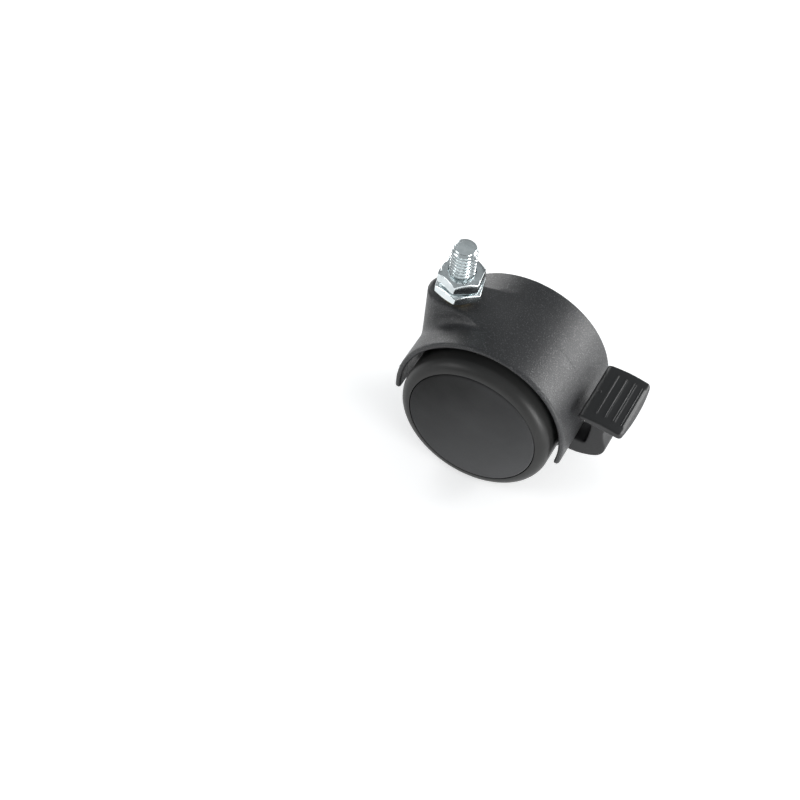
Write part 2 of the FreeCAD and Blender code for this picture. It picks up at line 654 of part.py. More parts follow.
def pad_trim(sketch):
    """Plan outside the foot plate: convex rear edge with rounded corners."""
    half, corner, far, side = sz.pad_half, sz.pad_corner, sz.beyond, sz.pad_side_x
    outline(sketch, [
        Line(side - corner, -half), Arc(side, -half + corner, corner, 1),
        Arc(sz.pad_rear, ZERO, sz.pad_rear_bow, 1), Arc(side, half - corner, sz.pad_rear_bow, 1),
        Arc(side - corner, half, corner, 1), Line(side - corner, far), Line(far, far),
        Line(far, -far), Line(side - corner, -far),
    ])


def add_tread(body, row):
    """One cross bar of the foot plate; the rows step down a little towards the tip."""
    middle = sz.tread_first + sz.tread_pitch * row
    top = sz.tread_top - sz.tread_drop * (row * row)
    front, back, base = middle - sz.tread_wide_half, middle + sz.tread_wide_half, sz.tread_base

    def tread(sketch):
        outline(sketch, [Line(front, base), Line(back, base), Line(back, top), Line(front, top)])
    swept(body, tread, "XZ_Plane", sz.tread_half * 2)


def make_brake_lever():
    body = new_body("brake_lever")
    swept(body, pad_outline, "XZ_Plane", sz.pad_half * 2)
    for row in range(SIZES["tread_rows"]):
        add_tread(body, row)
    swept(body, pad_trim, "XY_Plane", sz.through, cut=True)
    swept(body, arm_outline, "XZ_Plane", sz.lever_wide * 2)
    swept(body, flare_outline, "YZ_Plane", sz.flare_length, offset=sz.flare_front, symmetric=False)
    swept(body, finger_outline, "XZ_Plane", sz.lever_narrow * 2)
    swept(body, lambda sketch: round_hole(sketch, sz.nub_x, ZERO, sz.nub), "XY_Plane",
          sz.nub_top - sz.tread_base, offset=sz.tread_base, symmetric=False)
    drill(body, point("pivot"), sz.pivot_bore)
    drill(body, point("cross"), sz.cross_pin)
    at_axle(body)


def make_pin(label, centre, radius, half):
    body = new_body(label)
    swept(body, lambda sketch: round_hole(sketch, *centre, radius), "XZ_Plane", half * 2)
    at_axle(body)


def make_friction_spring():
    """Bent leaf over the finger's round end."""
    body = new_body("friction_spring")
    bends = [point(name) for name in ("leaf_front", "leaf_dip_front", "leaf_dip_rear", "leaf_rear")]
    under = [Line(x, z) for x, z in bends]
    over = [Line(x, z + sz.spring_thick) for x, z in reversed(bends)]
    swept(body, lambda sketch: outline(sketch, under + over), "XZ_Plane", sz.spring_half * 2)
    at_axle(body)


# ---------------------------------------------------------------- build and write

def build():
    make_threaded_stem()
    make_thrust_washer()
    make_retaining_ring()
    make_lock_nut()
    make_housing()
    make_axle()
    for side, rotation in (("left", FreeCAD.Rotation()), ("right", FLIP)):
        make_spacer(side, rotation)
        make_clip(side, rotation)
        make_wheel_rim(side, rotation)
        make_tyre(side, rotation)
        make_hub_cap(side, rotation)
    make_brake_lever()
    make_pin("brake_pivot_pin", point("pivot"), sz.pivot_pin, sz.web_half)
    make_pin("brake_cross_pin", point("cross"), sz.cross_pin, sz.cross_half)
    make_friction_spring()
    doc.recompute()


def write_parts():
    for item in doc.Objects:
        if "Invalid" in item.State or "Error" in item.State:
            raise RuntimeError("feature failed: %s %s" % (item.Label, item.State))
    os.makedirs("parts", exist_ok=True)
    for body in made:
        shape = body.Shape
        if shape.isNull() or not shape.isValid() or len(shape.Solids) != 1:
            raise RuntimeError("bad shape: %s (%d solids)" % (body.Label, len(shape.Solids)))
        shape.exportStep("parts/%s.step" % body.Label)
        box = shape.BoundBox
        print("%-22s %9.1f mm3  x %6.2f..%6.2f y %6.2f..%6.2f z %6.2f..%6.2f" % (
            body.Label, shape.Volume, box.XMin, box.XMax, box.YMin, box.YMax, box.ZMin, box.ZMax))


build()
write_parts()
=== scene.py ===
import math

import bpy
import numpy as np
import openvdb
from mathutils import Matrix, Vector


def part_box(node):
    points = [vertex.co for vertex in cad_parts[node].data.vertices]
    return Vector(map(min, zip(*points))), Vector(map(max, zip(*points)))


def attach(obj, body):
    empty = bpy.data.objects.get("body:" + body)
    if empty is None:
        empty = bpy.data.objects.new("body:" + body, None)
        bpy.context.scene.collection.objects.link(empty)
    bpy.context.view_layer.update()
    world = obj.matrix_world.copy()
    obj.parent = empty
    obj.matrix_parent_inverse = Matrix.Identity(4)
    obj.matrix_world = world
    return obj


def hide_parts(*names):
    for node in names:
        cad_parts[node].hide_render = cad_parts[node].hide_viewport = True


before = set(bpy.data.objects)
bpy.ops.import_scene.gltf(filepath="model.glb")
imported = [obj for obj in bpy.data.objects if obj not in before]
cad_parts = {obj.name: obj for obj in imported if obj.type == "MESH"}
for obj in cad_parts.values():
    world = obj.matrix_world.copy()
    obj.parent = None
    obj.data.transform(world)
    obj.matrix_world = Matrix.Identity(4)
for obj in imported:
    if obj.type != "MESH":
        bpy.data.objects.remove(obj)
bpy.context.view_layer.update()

# Shapes are worked out in millimetres in the part's frame: +Z up the stem, +X back to the pedal,
# +Y to the left wheel, the origin at the top of the lock nut.
MM = 0.001


def box_mm(node):
    """Lowest and highest corner of a CAD node, in millimetres."""
    low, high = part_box(node)
    return low / MM, high / MM


AXLE = (box_mm("axle")[0] + box_mm("axle")[1]) / 2
FLOOR_Z = AXLE.z - (box_mm("tyre_left")[1].x - box_mm("tyre_left")[0].x) / 2

# Stem and nut, heights from the origin.
PITCH, THREAD_TOP, THREAD_FOOT = 1.25, 8.95, -4.1
THREAD_OUTER, THREAD_ROOT, THREAD_END = 4.0, 3.33, 3.35
CREST_SHARE, ROOT_SHARE = 0.16, 0.22
COLLAR_TOP, COLLAR_BASE, COLLAR_FLAT, COLLAR_TURN = -4.7, -7.9, 7.0, 13.5
COLLAR_CROWN, COLLAR_SLOPE = 6.9, 0.45
NUT_LOW, NUT_HIGH = box_mm("lock_nut")[0].z, box_mm("lock_nut")[1].z
NUT_FLAT, NUT_CROWN, NUT_SLOPE, NUT_TURN = 6.5, 6.15, 0.6, 8.0
NUT_BORE, NUT_SINK = 4.06, 0.3
HEX_CORNER, HEX_EDGE = 0.35, 0.13
SIDE_SAMPLES, ROWS_PER_TURN, WHEEL_SAMPLES = 20, 16, 180

# Stem below the collar and its rounded end above the thread: radius and height, from the bottom up.
# The lower steps have their corners eased, and the thread's root runs into the collar with a round.
STEM_STEPS = [
    (2.5, -29.3), (3.0, -28.7), (3.0, -16.95), (4.0, -16.95), (4.0, -16.45), (3.3, -16.45),
    (3.3, -15.45), (4.0, -15.45), (4.0, -9.15), (5.0, -9.15), (5.0, COLLAR_BASE),
]
STEM_TIP = [
    (3.3, 9.0), (3.3, 9.1), (3.5, 9.2), (3.56, 9.32), (3.5, 9.46), (3.36, 9.6), (3.2, 9.7), (3.05, 9.75),
    (2.4, 9.84), (1.6, 9.92), (0.8, 9.97), (0.3, 9.99),
]
STEM_EASE, ROOT_ROUND = 0.2, 0.1

# Wheel sections: radius and distance from the middle plane.
TYRE_BORE, TYRE_OUTER, TYRE_LIP, TYRE_START, TYRE_LIP_START, TYRE_END = 22.4, 25.0, 21.3, 5.6, 20.2, 22.0
TYRE_INNER_ROUND, TYRE_SHOULDER = 1.4, 3.7
CAP_UNDERSIDE = [
    (0.5, 20.9), (10.02, 20.9), (10.02, 18.5), (11.2, 18.5), (11.2, 20.9), (19.9, 20.9),
    (19.9, 18.5), (21.05, 18.5),
]
CAP_OUTER, CAP_FACE, CAP_EDGE, CAP_CROWN, CAP_DOME, CAP_RINGS = 21.05, 22.2, 0.5, 22.75, 384.2, 24

# Hood and lever: grid spacing, rounding of outer edges, filling of inner corners, rounds of evening out.
# The hood is filled only outside a radius, the lever only between the axle's height and one above it.
HOOD_CENTRE_Z, HOOD_SKIN = AXLE.z + 0.8, 27.7
HOUSING_VOXEL, HOUSING_EDGE, BOSS_BLEND, HOUSING_ROUNDS = 0.4, 0.3, 1.5, 4
LEVER_VOXEL, LEVER_EDGE, LEVER_BLEND, LEVER_ROUNDS, LEVER_BLEND_TOP = 0.2, 0.34, 2.4, 2, 11.0
GRID_MARGIN, BAND_SPARE = 6, 3
PULL_IN, PUSH_OUT = 0.5, -0.52

# Ridges and nub on the foot plate, places from the axle. The section is one ridge's outline: across the
# ridge, and up from its crest. The stations are shares of a ridge's half length.
TREAD_ROWS, TREAD_FIRST, TREAD_PITCH, TREAD_HALF = 4, 33.8, 2.66, 8.8
TREAD_TOP, TREAD_DROP, TREAD_SINK = 14.45, 0.12, 1.4
TREAD_STATIONS, TREAD_END_DROP = (-1, -0.97, 0.97, 1), 0.3
TREAD_SECTION = [
    (-0.3, -TREAD_SINK), (0.3, -TREAD_SINK), (0.28, -0.45), (0.16, -0.1), (0.06, 0.0), (-0.06, 0.0),
    (-0.16, -0.1), (-0.28, -0.45),
]
NUB_X, NUB_TOP, NUB_RADIUS, NUB_SAMPLES = 31.2, 14.42, 0.62, 24

# Heights above the axle between which the lever's matte arm turns into the glossier plate.
PAD_GLOSS_LOW, PAD_GLOSS_HIGH = 12.3, 13.0

# Edges sharper than these angles stay sharp in the shading.
METAL_CREASE, WHEEL_CREASE, MOULDING_CREASE, RIDGE_CREASE = 28, 40, 50, 35


# ---------------------------------------------------------------- meshes

def new_piece(name, points, faces, material, crease):
    """Mesh object from points in millimetres; edges sharper than the crease angle stay sharp."""
    mesh = bpy.data.meshes.new(name)
    mesh.from_pydata((np.asarray(points, float) * MM).tolist(), [], [list(map(int, face)) for face in faces])
    mesh.update()
    mesh.shade_smooth()
    mesh.set_sharp_from_angle(angle=math.radians(crease))
    mesh.materials.append(material)
    piece = bpy.data.objects.new(name, mesh)
    bpy.context.scene.collection.objects.link(piece)
    return piece


def stand_for(piece, node, body):
    """The piece is shown in place of a CAD node and moves with its body."""
    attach(piece, body)
    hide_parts(node)


def arc(centre, radius, start, end, count=9):
    """Points of a quarter or other part of a circle, angles in degrees."""
    angles = np.radians(np.linspace(start, end, count))
    return [(centre[0] + radius * math.cos(a), centre[1] + radius * math.sin(a)) for a in angles]


def eased(steps, ease):
    """The same radius and height steps with each corner cut back and rounded."""
    steps = [Vector(step) for step in steps]
    result = [steps[0]]
    for before, corner, after in zip(steps, steps[1:], steps[2:]):
        back = min(ease, (before - corner).length * 0.4)
        ahead = min(ease, (after - corner).length * 0.4)
        first = corner + (before - corner).normalized() * back
        last = corner + (after - corner).normalized() * ahead
        result += [first, (first + corner * 2 + last) / 4, last]
    return result + [steps[-1]]


class Turning:
    """Rings of points about an axis, joined into a skin; a row is a radius and a height for each angle."""

    def __init__(self, angles):
        self.angles = angles

    def row(self, radius, height):
        return np.full_like(self.angles, radius), np.full_like(self.angles, height)

    def rows(self, steps):
        return [self.row(radius, height) for radius, height in steps]

    def skin(self, rows, closed):
        """Points and faces over the rows, with round ends or joined end to end."""
        count = len(self.angles)
        points = [(r * math.cos(a), r * math.sin(a), z) for radius, height in rows
                  for r, z, a in zip(radius, height, self.angles)]
        faces = []
        for row in range(len(rows) if closed else len(rows) - 1):
            here, above = row * count, (row + 1) % len(rows) * count
            faces += [(here + i, here + (i + 1) % count, above + (i + 1) % count, above + i)
                      for i in range(count)]
        if not closed:
            foot, head, top = len(points), len(points) + 1, (len(rows) - 1) * count
            points += [(0, 0, rows[0][1][0]), (0, 0, rows[-1][1][0])]
            faces += [(foot, (i + 1) % count, i) for i in range(count)]
            faces += [(head, top + i, top + (i + 1) % count) for i in range(count)]
        return points, faces


class Hexagon(Turning):
    """Rings whose points lie closer together near the corners of a hexagon turned by some degrees."""

    def __init__(self, turn):
        self.turn = math.radians(turn)
        share = np.arange(-1, 1, 2 / SIDE_SAMPLES)
        side = math.radians(30) * share * (1.5 - 0.5 * share ** 2)
        super().__init__(np.concatenate([self.turn + math.radians(60) * k + side for k in range(6)]))

    def reach(self, half_flat):
        """Distance from the centre to the side of the hexagon, its corners rounded, in each direction."""
        sixth = math.radians(60)
        sector = (self.angles - self.turn + sixth / 2) % sixth - sixth / 2
        centre = (half_flat - HEX_CORNER) / math.cos(sixth / 2)
        off = sixth / 2 - np.abs(sector)
        rounded = centre * np.cos(off) + np.sqrt(np.maximum(HEX_CORNER ** 2 - (centre * np.sin(off)) ** 2, 0))
        limit = math.atan2(HEX_CORNER * math.sin(sixth / 2), centre + HEX_CORNER * math.cos(sixth / 2))
        return np.where(off < limit, rounded, half_flat / np.cos(sector))

    def rim(self, half_flat, crown, slope, level, up):
        """Rows over the rim of a face at a level, from its round crown to the flat sides."""
        reach = self.reach(half_flat)
        drop = slope * np.maximum(reach - crown, 0)
        inner = slope * np.maximum(reach - HEX_EDGE - crown, 0)
        return [self.row(crown - HEX_EDGE, level), (reach - HEX_EDGE, level - up * inner),
                (reach - HEX_EDGE * 0.3, level - up * (drop + HEX_EDGE * 0.3)),
                (reach, level - up * (drop + HEX_EDGE))]


def thread_rows(angles):
    """Right-hand helical thread with flat crests, run out into the relief and bevelled at the end."""
    count = round((THREAD_TOP - THREAD_FOOT) / PITCH * ROWS_PER_TURN)
    rows = []
    for height in np.linspace(THREAD_FOOT, THREAD_TOP, count):
        wave = np.abs((height / PITCH - angles / (2 * math.pi)) % 1 - 0.5) * 2
        flank = np.clip((wave - ROOT_SHARE) / (1 - ROOT_SHARE - CREST_SHARE), 0, 1)
        radius = THREAD_ROOT + (THREAD_OUTER - THREAD_ROOT) * flank
        bevel = min(THREAD_END + THREAD_TOP - height, THREAD_ROOT + height - THREAD_FOOT)
        rows.append((np.minimum(radius, bevel), np.full_like(angles, height)))
    return rows


def make_stem(material):
    shape = Hexagon(COLLAR_TURN)
    rows = shape.rows(eased(STEM_STEPS, STEM_EASE))
    rows += shape.rim(COLLAR_FLAT, COLLAR_CROWN, COLLAR_SLOPE, COLLAR_BASE, -1)
    rows += reversed(shape.rim(COLLAR_FLAT, COLLAR_CROWN, COLLAR_SLOPE, COLLAR_TOP, 1))
    rows += shape.rows([(THREAD_ROOT + ROOT_ROUND, COLLAR_TOP), (THREAD_ROOT, COLLAR_TOP + ROOT_ROUND)])
    rows += thread_rows(shape.angles) + shape.rows(STEM_TIP)
    piece = new_piece("stem_with_thread", *shape.skin(rows, closed=False), material, METAL_CREASE)
    stand_for(piece, "threaded_stem", "stem")


def make_nut(material):
    shape = Hexagon(NUT_TURN)
    rows = shape.rim(NUT_FLAT, NUT_CROWN, NUT_SLOPE, NUT_LOW, -1)
    rows += reversed(shape.rim(NUT_FLAT, NUT_CROWN, NUT_SLOPE, NUT_HIGH, 1))
    rows += shape.rows([(NUT_BORE + NUT_SINK, NUT_HIGH), (NUT_BORE, NUT_HIGH - NUT_SINK),
                        (NUT_BORE, NUT_LOW + NUT_SINK), (NUT_BORE + NUT_SINK, NUT_LOW)])
    piece = new_piece("thin_lock_nut", *shape.skin(rows, closed=True), material, METAL_CREASE)
    stand_for(piece, "lock_nut", "lock_nut")


def make_wheel_piece(name, steps, closed, side, node, material):
    """Turned piece of one wheel, its section given for the left side."""
    shape = Turning(np.arange(WHEEL_SAMPLES) * 2 * math.pi / WHEEL_SAMPLES)
    points, faces = shape.skin(shape.rows(steps), closed)
    outward = 1 if side == "left" else -1
    placed = [(AXLE.x + x, outward * z, AXLE.z - outward * y) for x, y, z in points]
    piece = new_piece(name + "_" + side, placed, faces, material, WHEEL_CREASE)
    stand_for(piece, node + "_" + side, "wheel_" + side)


def make_tyre(side, material):
    inner = arc((TYRE_OUTER - TYRE_INNER_ROUND, TYRE_START + TYRE_INNER_ROUND), TYRE_INNER_ROUND, -90, 0)
    shoulder = arc((TYRE_OUTER - TYRE_SHOULDER, TYRE_END - TYRE_SHOULDER), TYRE_SHOULDER, 0, 90, 17)
    lip = [(TYRE_LIP, TYRE_LIP_START), (TYRE_BORE, TYRE_LIP_START)]
    steps = [(TYRE_BORE, TYRE_START)] + inner + shoulder + lip
    make_wheel_piece("rounded_tyre", steps, True, side, "tyre", material)


def make_cap(side, material):
    rim = arc((CAP_OUTER - CAP_EDGE, CAP_FACE - CAP_EDGE), CAP_EDGE, 0, 90, 7)
    face = [(radius, CAP_CROWN - CAP_DOME + math.sqrt(CAP_DOME ** 2 - radius ** 2))
            for radius in np.linspace(CAP_OUTER - CAP_EDGE, CAP_UNDERSIDE[0][0], CAP_RINGS)[1:]]
    steps = CAP_UNDERSIDE + rim + face
    make_wheel_piece("domed_hub_cap", steps, False, side, "hub_cap", material)


# ---------------------------------------------------------------- moulded pieces with soft edges

def level_set(points, faces, voxel, reach):
    """Distance field round a closed mesh, true up to reach on both sides."""
    kind = "triangles" if faces.shape[1] == 3 else "quads"
    return openvdb.FloatGrid.createLevelSetFromPolygons(
        np.ascontiguousarray(points, np.float32), **{kind: np.ascontiguousarray(faces, np.uint32)},
        transform=openvdb.createLinearTransform(voxelSize=voxel), halfWidth=reach / voxel + BAND_SPARE)


def node_mesh(node):
    """Points in millimetres and triangles of a CAD node."""
    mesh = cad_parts[node].data
    mesh.calc_loop_triangles()
    points = np.empty(len(mesh.vertices) * 3, np.float32)
    mesh.vertices.foreach_get("co", points)
    triangles = np.empty(len(mesh.loop_triangles) * 3, np.int32)
    mesh.loop_triangles.foreach_get("vertices", triangles)
    return points.reshape(-1, 3) / MM, triangles.reshape(-1, 3)


class Volume:
    """Distances to a solid on a regular grid, in millimetres, negative inside it."""

    def __init__(self, low, high, voxel):
        self.voxel = voxel
        self.start = [math.floor(edge / voxel) - GRID_MARGIN for edge in low]
        self.shape = [math.ceil(edge / voxel) + GRID_MARGIN - start for edge, start in zip(high, self.start)]

    def centres(self):
        """Three arrays with the coordinates of every grid point."""
        steps = [(start + np.arange(count)) * self.voxel for start, count in zip(self.start, self.shape)]
        return np.meshgrid(*steps, indexing="ij")

    def array(self, grid):
        values = np.empty(self.shape, np.float32)
        grid.copyToArray(values, ijk=tuple(self.start))
        return values

    def surface(self, values):
        """Points and quads of the zero surface of an array of distances."""
        grid = openvdb.FloatGrid(float(values.max()))
        grid.copyFromArray(values, ijk=tuple(self.start))
        grid.transform = openvdb.createLinearTransform(voxelSize=self.voxel)
        return grid.convertToQuads(0)

    def there_and_back(self, points, faces, distance):
        """Distances to a solid whose surface is moved out by a distance and back again.

        A positive distance fills inside corners with rounds of that radius, a negative one rounds
        outside corners.
        """
        reach = abs(distance)
        moved_points, moved_faces = level_set(points, faces, self.voxel, reach).convertToQuads(distance)
        moved = level_set(moved_points, moved_faces, self.voxel, reach)
        return self.array(moved) + distance


def relaxed(points, faces, rounds):
    """Points evened out along the surface, with the shrinking of each pass pushed back."""
    pairs = np.concatenate([faces[:, [k, (k + 1) % 4]] for k in range(4)])
    heads, tails = pairs[:, 0], pairs[:, 1]
    count = np.bincount(heads, minlength=len(points))
    for share in (PULL_IN, PUSH_OUT) * rounds:
        around = [np.bincount(heads, weights=points[tails, axis], minlength=len(points))
                  for axis in range(3)]
        points = points + share * (np.stack(around, axis=1) / count[:, None] - points)
    return points


def make_housing(material):
    """The CAD housing with soft outer edges and a wider blend where the boss grows out of the hood."""
    points, faces = node_mesh("housing")
    volume = Volume(*box_mm("housing"), HOUSING_VOXEL)
    soft = volume.there_and_back(points, faces, -HOUSING_EDGE)
    blended = volume.there_and_back(*volume.surface(soft), BOSS_BLEND)
    x, y, z = volume.centres()
    outside = np.hypot(x - AXLE.x, z - HOOD_CENTRE_Z) > HOOD_SKIN
    points, faces = volume.surface(np.where(outside, blended, soft))
    piece = new_piece("housing_moulding", relaxed(points, faces, HOUSING_ROUNDS), faces[:, ::-1], material,
                      MOULDING_CREASE)
    stand_for(piece, "housing", "housing")


def make_lever(material):
    """The CAD brake lever with soft edges and a wide blend where the arm spreads under the foot plate."""
    points, faces = node_mesh("brake_lever")
    volume = Volume(*box_mm("brake_lever"), LEVER_VOXEL)
    soft = volume.there_and_back(points, faces, -LEVER_EDGE)
    blended = volume.there_and_back(*volume.surface(soft), LEVER_BLEND)
    height = volume.centres()[2] - AXLE.z
    points, faces = volume.surface(np.where((height > 0) & (height < LEVER_BLEND_TOP), blended, soft))
    piece = new_piece("brake_lever_moulding", relaxed(points, faces, LEVER_ROUNDS), faces[:, ::-1], material,
                      MOULDING_CREASE)
    stand_for(piece, "brake_lever", "brake_lever")


def make_treads(material):
    """Four narrow ridges across the foot plate and the small nub ahead of them, all sunk into it."""
    points, faces = [], []
    count = len(TREAD_SECTION)
    for row in range(TREAD_ROWS):
        middle, top = TREAD_FIRST + TREAD_PITCH * row, TREAD_TOP - TREAD_DROP * row ** 2
        for share in TREAD_STATIONS:
            low = TREAD_END_DROP * (abs(share) == 1)
            points += [(AXLE.x + middle + across, share * TREAD_HALF, AXLE.z + top + along - low)
                       for across, along in TREAD_SECTION]
        base = len(points) - len(TREAD_STATIONS) * count
        last = len(points) - count
        for here in range(base, last, count):
            faces += [(here + i, here + count + i, here + count + (i + 1) % count, here + (i + 1) % count)
                      for i in range(count)]
        faces += [tuple(base + i for i in range(count)), tuple(last + i for i in reversed(range(count)))]
    nub = Turning(np.arange(NUB_SAMPLES) * 2 * math.pi / NUB_SAMPLES)
    steps = [(NUB_RADIUS, -TREAD_SINK)] + arc((0, -NUB_RADIUS), NUB_RADIUS, 0, 80, 7)
    nub_points, nub_faces = nub.skin(nub.rows(steps), closed=False)
    faces += [tuple(len(points) + corner for corner in face) for face in nub_faces]
    points += [(AXLE.x + NUB_X + x, y, AXLE.z + NUB_TOP + z) for x, y, z in nub_points]
    piece = new_piece("foot_plate_ridges", points, faces, material, RIDGE_CREASE)
    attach(piece, "brake_lever")


# ---------------------------------------------------------------- materials

class Look:
    """A node material around one Principled shader, with uniform values set on the shader's own sockets."""

    def __init__(self, name, values=None):
        self.material = bpy.data.materials.new(name)
        self.material.use_nodes = True
        self.tree = self.material.node_tree
        self.shader = self.tree.nodes["Principled BSDF"]
        for key, value in (values or {}).items():
            self.shader.inputs[key].default_value = value
        self.place = self.tree.nodes.new("ShaderNodeTexCoord").outputs["Object"]

    def node(self, kind, inputs=None, **settings):
        node = self.tree.nodes.new(kind)
        for key, value in settings.items():
            setattr(node, key, value)
        for key, value in (inputs or {}).items():
            if isinstance(value, bpy.types.NodeSocket):
                self.tree.links.new(value, node.inputs[key])
            else:
                node.inputs[key].default_value = value
        return node

    def noise(self, per_mm, detail=3.0, stretch=(1, 1, 1)):
        """Soft noise from 0 to 1 with about that many features per millimetre."""
        place = self.node("ShaderNodeMapping", {"Vector": self.place, "Scale": stretch}).outputs["Vector"]
        inputs = {"Vector": place, "Scale": per_mm / MM, "Detail": detail}
        return self.node("ShaderNodeTexNoise", inputs).outputs["Fac"]

    def span(self, value, low, high, start=0.3, end=0.7):
        """The value spread from start-end to low-high."""
        inputs = {"Value": value, "From Min": start, "From Max": end, "To Min": low, "To Max": high}
        return self.node("ShaderNodeMapRange", inputs).outputs["Result"]

    def maths(self, operation, first, second=0.0):
        return self.node("ShaderNodeMath", {0: first, 1: second}, operation=operation).outputs[0]

    def axis(self, name):
        """One coordinate of the surface point, in metres."""
        return self.node("ShaderNodeSeparateXYZ", {"Vector": self.place}).outputs[name]

    def blend(self, share, first, second):
        """A colour between two colours, each a socket or red, green and blue."""
        # The Mix node has its colours on inputs 6 and 7 and output 2.
        first, second = (value if isinstance(value, bpy.types.NodeSocket) else (*value, 1)
                         for value in (first, second))
        return self.node("ShaderNodeMix", {0: share, 6: first, 7: second}, data_type="RGBA").outputs[2]

    def bump(self, height, depth_mm, strength=1.0):
        """Adds relief of about that depth to the surface, on top of any relief before it."""
        inputs = {"Height": height, "Strength": strength, "Distance": depth_mm * MM}
        before = self.shader.inputs["Normal"]
        if before.is_linked:
            inputs["Normal"] = before.links[0].from_socket
        self.tree.links.new(self.node("ShaderNodeBump", inputs).outputs["Normal"], before)

    def set(self, key, value):
        self.tree.links.new(value, self.shader.inputs[key])


def hood_look():
    """Moulded charcoal plastic with a fine grain and a faint parting line along the middle."""
    look = Look("hood_plastic")
    speckle = look.noise(2.6, detail=2.0)
    cloud = look.noise(0.06)
    colour = look.blend(look.span(cloud, 0, 1), (0.020, 0.0205, 0.022), (0.027, 0.0275, 0.029))
    colour = look.blend(look.span(speckle, 0, 1, 0.56, 0.72), colour, (0.085, 0.086, 0.088))
    look.set("Base Color", colour)
    look.set("Roughness", look.span(speckle, 0.52, 0.34))
    look.bump(speckle, 0.09, 0.8)
    look.bump(look.noise(6.0, detail=1.0), 0.012, 0.5)
    seam = look.maths("ABSOLUTE", look.axis("Y"))
    look.bump(look.span(seam, 1, 0, 0.04 * MM, 0.12 * MM), 0.05, 0.7)
    return look.material


def satin_look(name, dark, light, rough, grain_per_mm, grain_depth, shine=0.5):
    """Satin moulded plastic or rubber with a faint grain."""
    look = Look(name, {"Specular IOR Level": shine})
    grain = look.noise(grain_per_mm, detail=2.0)
    cloud = look.noise(0.08)
    look.set("Base Color", look.blend(look.span(cloud, 0, 1), dark, light))
    look.set("Roughness", look.span(grain, rough + 0.05, rough - 0.05))
    look.bump(grain, grain_depth, 0.6)
    return look.material


def cap_painted_shade_look():
    """Fine matte plastic with painted shade, darker towards the top and the front of the disc, and painted
    light, lighter towards the bottom and the back.
    """
    look = Look("cap_plastic", {"Specular IOR Level": 0.13})
    grain = look.noise(2.4, detail=2.0)
    # Painted shade and painted light: the colour darkens towards the top and the front of the disc and
    # lightens towards the bottom and the back.
    low = look.span(look.axis("Z"), 0, 1, (AXLE.z + 16) * MM, (AXLE.z - 19) * MM)
    across = look.span(look.axis("X"), 0, 1, (AXLE.x - 22) * MM, (AXLE.x + 20) * MM)
    share = look.maths("MULTIPLY", look.maths("ADD", low, across), 0.5)
    share = look.maths("ADD", share, look.span(look.noise(0.08), -0.06, 0.06))
    look.set("Base Color", look.blend(share, (0.001, 0.001, 0.001), (0.078, 0.079, 0.081)))
    look.set("Roughness", look.span(grain, 0.56, 0.46))
    look.bump(grain, 0.02, 0.6)
    return look.material


def lever_look():
    """Matte arm and a glossier foot plate, one moulding."""
    look = Look("lever_plastic")
    grain = look.noise(3.0, detail=2.0)
    pad = look.span(look.axis("Z"), 0, 1, (AXLE.z + PAD_GLOSS_LOW) * MM, (AXLE.z + PAD_GLOSS_HIGH) * MM)
    look.set("Base Color", look.blend(pad, (0.019, 0.0192, 0.020), (0.012, 0.0122, 0.0128)))
    matte = look.span(grain, 0.60, 0.52)
    gloss = look.span(grain, 0.34, 0.28)
    # The Mix node has its numbers on inputs 2 and 3 and output 0.
    mixed = look.node("ShaderNodeMix", {0: pad, 2: matte, 3: gloss}, data_type="FLOAT").outputs[0]
    look.set("Roughness", mixed)
    look.bump(grain, 0.008, 0.4)
    return look.material


def plated_look(name, light, dark, rough):
    """Bright plated steel with soft blotches and fine turning marks."""
    look = Look(name, {"Metallic": 1.0})
    blotch = look.noise(0.5)
    streak = look.noise(1.2, detail=4.0, stretch=(1, 1, 6))
    look.set("Base Color", look.blend(look.span(blotch, 0, 1), dark, light))
    look.set("Roughness", look.span(streak, rough + 0.07, rough - 0.05))
    look.bump(streak, 0.01, 0.5)
    return look.material


def paint(material, *nodes):
    """Gives a look to CAD nodes that are shown as they are."""
    for node in nodes:
        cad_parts[node].material_slots[0].material = material


# ---------------------------------------------------------------- studio

CAMERA_AIM = Vector((-7.35, -18.55, -46.10))
CAMERA_REACH, CAMERA_AZIMUTH, CAMERA_ELEVATION, CAMERA_ROLL = 586.5, 22.33, 49.50, 6.84
CAMERA_LENS, SENSOR_WIDTH = 84.59, 36.0
CAMERA_NEAR_M, CAMERA_FAR_M = 0.01, 20

# Softboxes: azimuth and elevation in degrees, distance from the axle, width and height in mm, watts.
SOFTBOXES = {
    "right_rear": (130, 17, 650, 320, 320, 2.8),
    "left_rear": (-131, 19, 700, 300, 420, 1.9),
    "right_low": (68, 10, 600, 260, 260, 2.6),
    "left_front": (-52, 26, 600, 300, 260, 0.9),
}
FLOOR_HALF, FLOOR_GLOW = 12000, 0.42
LEVEL_GREY, OVERHEAD_GREY, OVERHEAD_FROM = (0.10, 0.10, 0.105, 1), (0.40, 0.42, 0.43, 1), 0.75


def direction(azimuth, elevation):
    """Unit vector towards a viewer; azimuth 0 is in front of the right wheel, at -Y."""
    turn, rise = math.radians(azimuth), math.radians(elevation)
    return Vector((math.sin(turn) * math.cos(rise), -math.cos(turn) * math.cos(rise), math.sin(rise)))


def place(thing, name, target, azimuth, elevation, reach, roll=0):
    """Puts a camera or light at a distance in millimetres from a target, turned towards it."""
    holder = bpy.data.objects.new(name, thing)
    back = direction(azimuth, elevation)
    turned = back.to_track_quat("Z", "Y").to_matrix().to_4x4() @ Matrix.Rotation(math.radians(roll), 4, "Z")
    holder.matrix_world = Matrix.Translation((target + back * reach) * MM) @ turned
    bpy.context.scene.collection.objects.link(holder)
    return holder


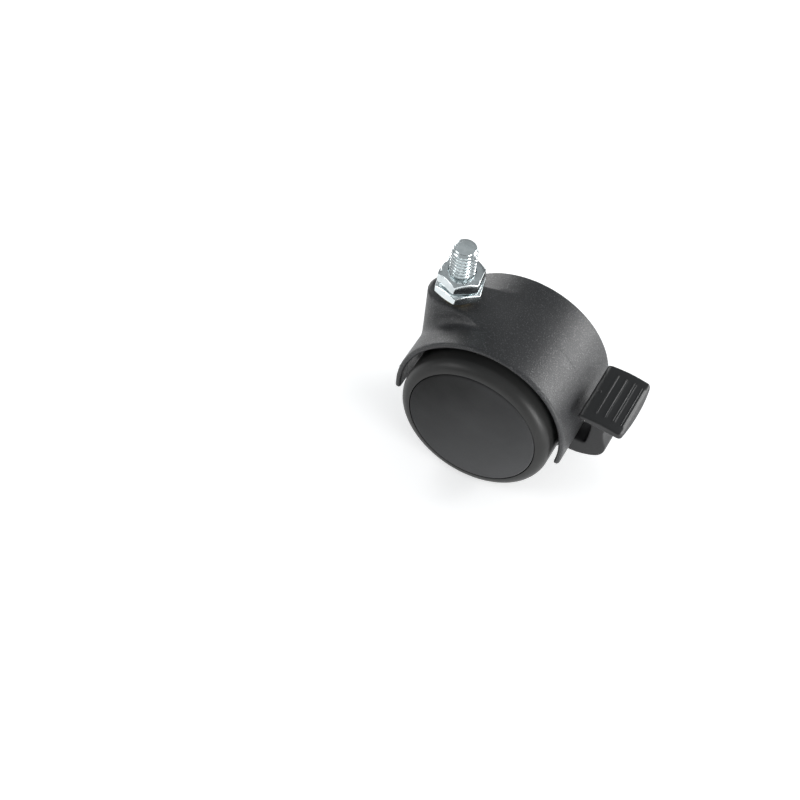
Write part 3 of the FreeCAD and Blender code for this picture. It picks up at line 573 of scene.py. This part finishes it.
def add_camera():
    camera = bpy.data.cameras.new("camera")
    camera.lens, camera.sensor_width, camera.sensor_fit = CAMERA_LENS, SENSOR_WIDTH, "HORIZONTAL"
    camera.clip_start, camera.clip_end = CAMERA_NEAR_M, CAMERA_FAR_M
    bpy.context.scene.camera = place(camera, "camera", CAMERA_AIM, CAMERA_AZIMUTH, CAMERA_ELEVATION,
                                     CAMERA_REACH, CAMERA_ROLL)


def add_softbox(name, azimuth, elevation, reach, width, height, watts):
    light = bpy.data.lights.new(name, "AREA")
    light.shape, light.size, light.size_y = "RECTANGLE", width * MM, height * MM
    light.energy = watts
    place(light, name, AXLE, azimuth, elevation, reach)


def floor_look():
    """Plain white that lights itself a little, so that it is as white as the photograph's background."""
    glow = {"Emission Color": (1, 1, 1, 1), "Emission Strength": FLOOR_GLOW}
    look = Look("floor", {"Roughness": 0.9, **glow})
    look.set("Base Color", look.blend(look.noise(0.01), (0.86, 0.86, 0.86), (0.88, 0.88, 0.88)))
    return look.material


def add_floor():
    mesh = bpy.data.meshes.new("floor")
    corners = [(x * FLOOR_HALF * MM, y * FLOOR_HALF * MM, FLOOR_Z * MM)
               for x, y in ((-1, -1), (1, -1), (1, 1), (-1, 1))]
    mesh.from_pydata(corners, [], [(0, 1, 2, 3)])
    mesh.materials.append(floor_look())
    floor = bpy.data.objects.new("floor", mesh)
    bpy.context.scene.collection.objects.link(floor)


def add_surroundings():
    """Grey studio, dark at eye level and lighter overhead, so that the metal has something to reflect."""
    world = bpy.data.worlds.new("studio")
    bpy.context.scene.world = world
    world.use_nodes = True
    tree = world.node_tree
    height = tree.nodes.new("ShaderNodeSeparateXYZ")
    tree.links.new(tree.nodes.new("ShaderNodeTexCoord").outputs["Generated"], height.inputs[0])
    ramp = tree.nodes.new("ShaderNodeValToRGB")
    tree.links.new(height.outputs["Z"], ramp.inputs["Fac"])
    level, overhead = ramp.color_ramp.elements
    level.position, level.color = 0.0, LEVEL_GREY
    overhead.position, overhead.color = OVERHEAD_FROM, OVERHEAD_GREY
    tree.links.new(ramp.outputs["Color"], tree.nodes["Background"].inputs["Color"])


# ---------------------------------------------------------------- scene

make_stem(plated_look("zinc_steel", (0.84, 0.89, 0.90), (0.70, 0.76, 0.77), 0.17))
make_nut(plated_look("nut_steel", (0.72, 0.77, 0.78), (0.58, 0.63, 0.64), 0.14))
make_housing(hood_look())
lever_plastic = lever_look()
make_lever(lever_plastic)
make_treads(lever_plastic)

sides = ("left", "right")
tyre_rubber = satin_look("tyre_tread", (0.024, 0.024, 0.0235), (0.030, 0.030, 0.0295), 0.38, 2.0, 0.01,
                         shine=0.24)
cap_plastic = cap_painted_shade_look()
for side in sides:
    make_tyre(side, tyre_rubber)
    make_cap(side, cap_plastic)
paint(satin_look("rim_plastic", (0.018, 0.018, 0.019), (0.024, 0.024, 0.025), 0.5, 1.5, 0.02),
      *["wheel_rim_" + side for side in sides])
paint(plated_look("washer_brass", (0.80, 0.62, 0.30), (0.66, 0.50, 0.22), 0.3), "thrust_washer")
paint(plated_look("spring_steel", (0.40, 0.41, 0.43), (0.26, 0.27, 0.29), 0.36),
      "retaining_ring", "friction_spring", *["axle_clip_" + side for side in sides])
paint(plated_look("pin_steel", (0.68, 0.69, 0.71), (0.52, 0.53, 0.56), 0.3),
      "axle", "brake_pivot_pin", "brake_cross_pin", *["spacer_washer_" + side for side in sides])

add_camera()
for name, setting in SOFTBOXES.items():
    add_softbox(name, *setting)
add_floor()
add_surroundings()
bpy.context.scene.view_settings.view_transform = "Standard"
